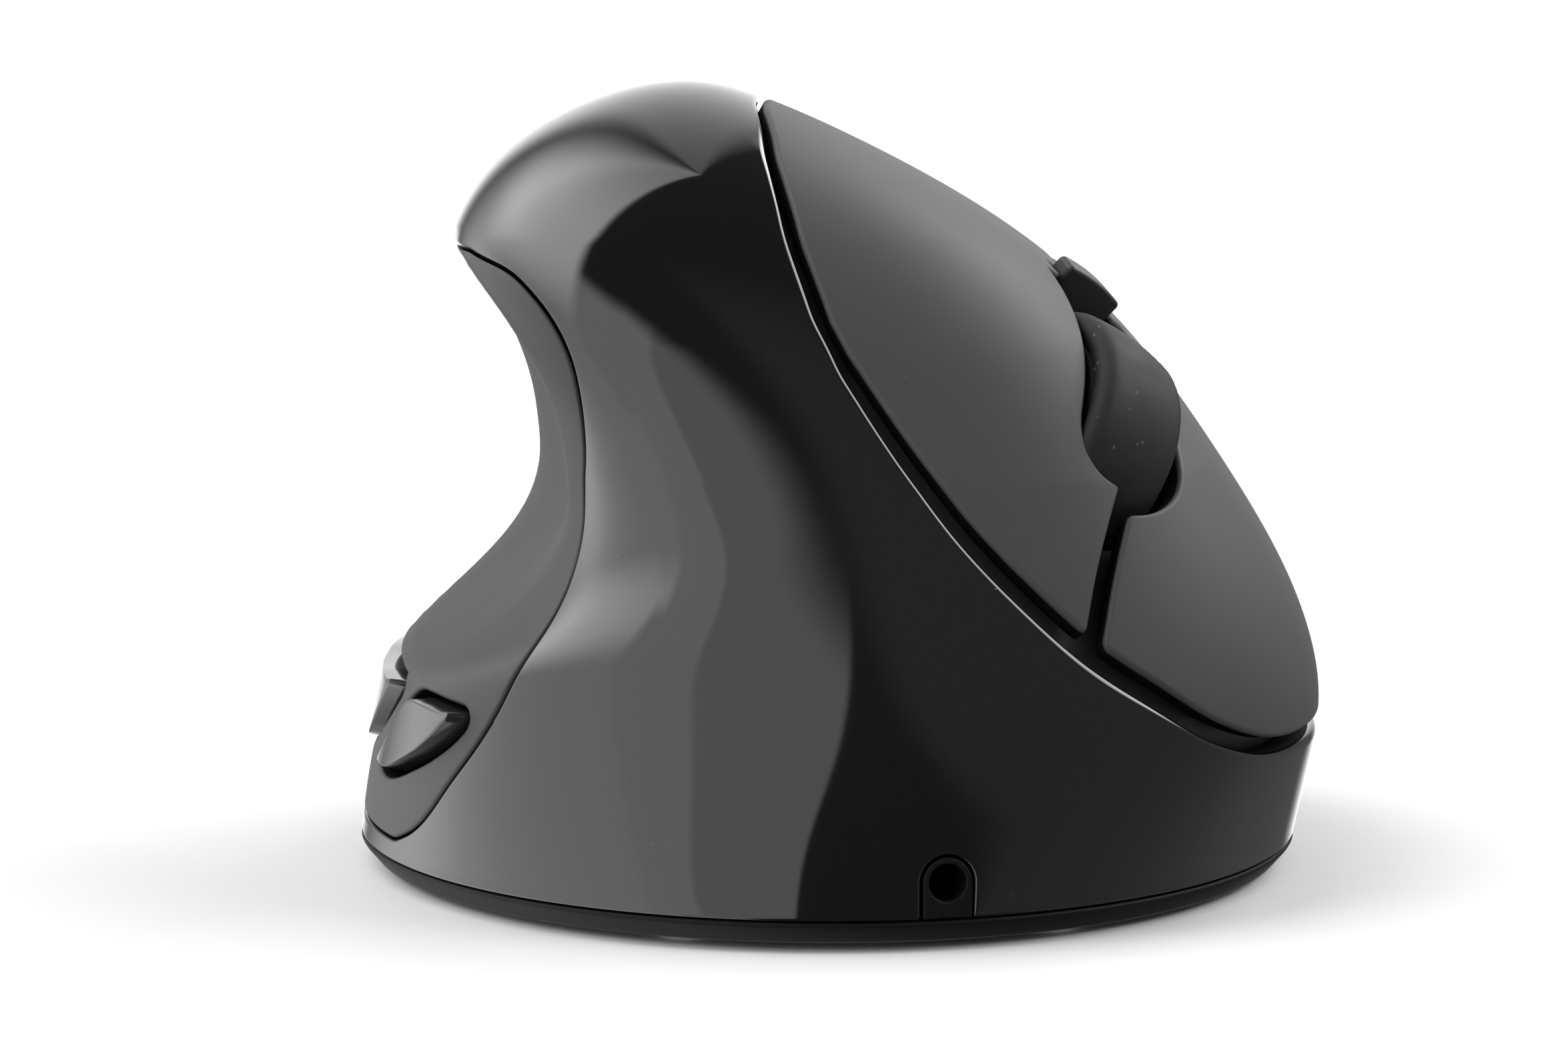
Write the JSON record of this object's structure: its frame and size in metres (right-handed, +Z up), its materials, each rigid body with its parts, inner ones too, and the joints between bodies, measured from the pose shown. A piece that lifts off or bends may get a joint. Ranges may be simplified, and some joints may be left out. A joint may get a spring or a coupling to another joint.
{
  "type": "vertical ergonomic mouse",
  "caption": "Left-handed vertical mouse with a glossy saddle shell, soft-touch finger buttons, scroll wheel, thumb hollow with side buttons and a round charging inlet.",
  "frame": {"origin": "middle of the bounding box, on the desk under the glide feet", "axes": "+Z up from the desk, -Y towards the front with the charging inlet, +X towards the finger buttons"},
  "size_m": [0.0854, 0.0926, 0.069],
  "materials": {
    "shell_gloss": "polished black",
    "button_gloss": "polished black",
    "soft_touch": "soft-touch dark grey",
    "base_matte": "fine matte black",
    "wheel_rubber": "smooth dark rubber",
    "board": "green solder mask",
    "glide": "slick black",
    "steel": "bright steel",
    "clear_lens": "clear moulding",
    "cell_wrap": "foil pouch",
    "stem_white": "natural white",
    "led_red": "tinted epoxy",
    "case_black": "moulded black"
  },
  "bodies": {
    "housing": {"base_plate": "base_matte", "main_shell": "shell_gloss", "thumb_panel": "soft_touch", "palm_plate": "soft_touch", "button_frame": "base_matte", "index_hinge_pin": "steel", "middle_hinge_pin": "steel", "cradle_pin": "steel", "cradle_bracket": "base_matte", "finger_pcb": "board", "index_switch": "case_black", "middle_switch": "case_black", "wheel_switch": "case_black", "dpi_switch": "case_black", "thumb_pcb": "board", "forward_switch": "case_black", "back_switch": "case_black", "main_pcb": "board", "sensor_chip": "case_black", "sensor_lens": "clear_lens", "sensor_led": "led_red", "radio_chip": "case_black", "battery": "cell_wrap", "battery_tray": "base_matte", "inlet_collar": "base_matte", "charge_jack": "case_black", "power_switch": "case_black", "foot_front": "glide", "foot_back": "glide", "foot_side": "glide", "case_screw_1": "steel", "case_screw_2": "steel", "case_screw_3": "steel", "case_screw_4": "steel", "pcb_screw_1": "steel", "pcb_screw_2": "steel", "pcb_screw_3": "steel"},
    "index_key": {"index_button": "soft_touch"},
    "middle_key": {"middle_button": "soft_touch"},
    "dpi_key": {"dpi_button": "base_matte"},
    "forward_key": {"forward_button": "button_gloss"},
    "back_key": {"back_button": "button_gloss"},
    "cradle": {"wheel_cradle": "base_matte", "wheel_encoder": "case_black"},
    "wheel": {"wheel_tyre": "wheel_rubber", "wheel_hub": "base_matte", "wheel_axle": "steel"},
    "index_plunger": {"index_stem": "stem_white"},
    "middle_plunger": {"middle_stem": "stem_white"},
    "wheel_plunger": {"wheel_stem": "stem_white"},
    "dpi_plunger": {"dpi_stem": "stem_white"},
    "forward_plunger": {"forward_stem": "stem_white"},
    "back_plunger": {"back_stem": "stem_white"},
    "power_knob": {"power_slider": "case_black"}
  },
  "joints": [
    {"name": "index_press", "type": "hinge", "parent": "housing", "child": "index_key", "pos_m": [0.00224, 0.00257, 0.05496], "axis": [-0.7991, -0.3934, 0.4546], "range_deg": [-1.1, 0], "stiffness_Nm_per_rad": 0.6, "springref_deg": 0.86},
    {"name": "middle_press", "type": "hinge", "parent": "housing", "child": "middle_key", "pos_m": [0.0251, 0.01232, 0.03225], "axis": [-0.5477, -0.1845, 0.8161], "range_deg": [-1.1, 0], "stiffness_Nm_per_rad": 0.6, "springref_deg": 0.86},
    {"name": "dpi_press", "type": "slide", "parent": "housing", "child": "dpi_key", "axis": [0.662, -0.2006, 0.7222], "range_m": [-0.0006, 0], "stiffness_N_per_m": 500, "springref_m": 0.0006},
    {"name": "forward_press", "type": "slide", "parent": "housing", "child": "forward_key", "axis": [-1, 0, 0], "range_m": [-0.0004, 0], "stiffness_N_per_m": 500, "springref_m": 0.0006},
    {"name": "back_press", "type": "slide", "parent": "housing", "child": "back_key", "axis": [-1, 0, 0], "range_m": [-0.0004, 0], "stiffness_N_per_m": 500, "springref_m": 0.0006},
    {"name": "wheel_click", "type": "hinge", "parent": "housing", "child": "cradle", "pos_m": [0.01323, -0.00476, 0.046], "axis": [0.7169, 0.4504, -0.5321], "range_deg": [0, 1], "stiffness_Nm_per_rad": 1.2, "springref_deg": -1.15},
    {"name": "wheel_spin", "type": "hinge", "parent": "cradle", "child": "wheel", "pos_m": [0.0183, -0.02253, 0.0378], "axis": [0.7169, 0.4504, -0.5321], "continuous": true},
    {"name": "index_plunge", "type": "slide", "parent": "housing", "child": "index_plunger", "axis": [0.662, -0.2006, 0.7222], "range_m": [-0.0009, 0]},
    {"name": "middle_plunge", "type": "slide", "parent": "housing", "child": "middle_plunger", "axis": [0.662, -0.2006, 0.7222], "range_m": [-0.0009, 0]},
    {"name": "wheel_plunge", "type": "slide", "parent": "housing", "child": "wheel_plunger", "axis": [0.662, -0.2006, 0.7222], "range_m": [-0.0006, 0]},
    {"name": "dpi_plunge", "type": "slide", "parent": "housing", "child": "dpi_plunger", "axis": [0.662, -0.2006, 0.7222], "range_m": [-0.0006, 0]},
    {"name": "forward_plunge", "type": "slide", "parent": "housing", "child": "forward_plunger", "axis": [-1, 0, 0], "range_m": [-0.0006, 0]},
    {"name": "back_plunge", "type": "slide", "parent": "housing", "child": "back_plunger", "axis": [-1, 0, 0], "range_m": [-0.0006, 0]},
    {"name": "power_slide", "type": "slide", "parent": "housing", "child": "power_knob", "axis": [1, 0, 0], "range_m": [0, 0.002]}
  ],
  "couplings": [
    {"joint": "index_plunge", "follows": "index_press", "m_per_rad": 0.0327},
    {"joint": "middle_plunge", "follows": "middle_press", "m_per_rad": 0.02731},
    {"joint": "wheel_plunge", "follows": "wheel_click", "m_per_rad": -0.0296},
    {"joint": "dpi_plunge", "follows": "dpi_press", "ratio": 1},
    {"joint": "forward_plunge", "follows": "forward_press", "ratio": 1},
    {"joint": "back_plunge", "follows": "back_press", "ratio": 1}
  ]
}
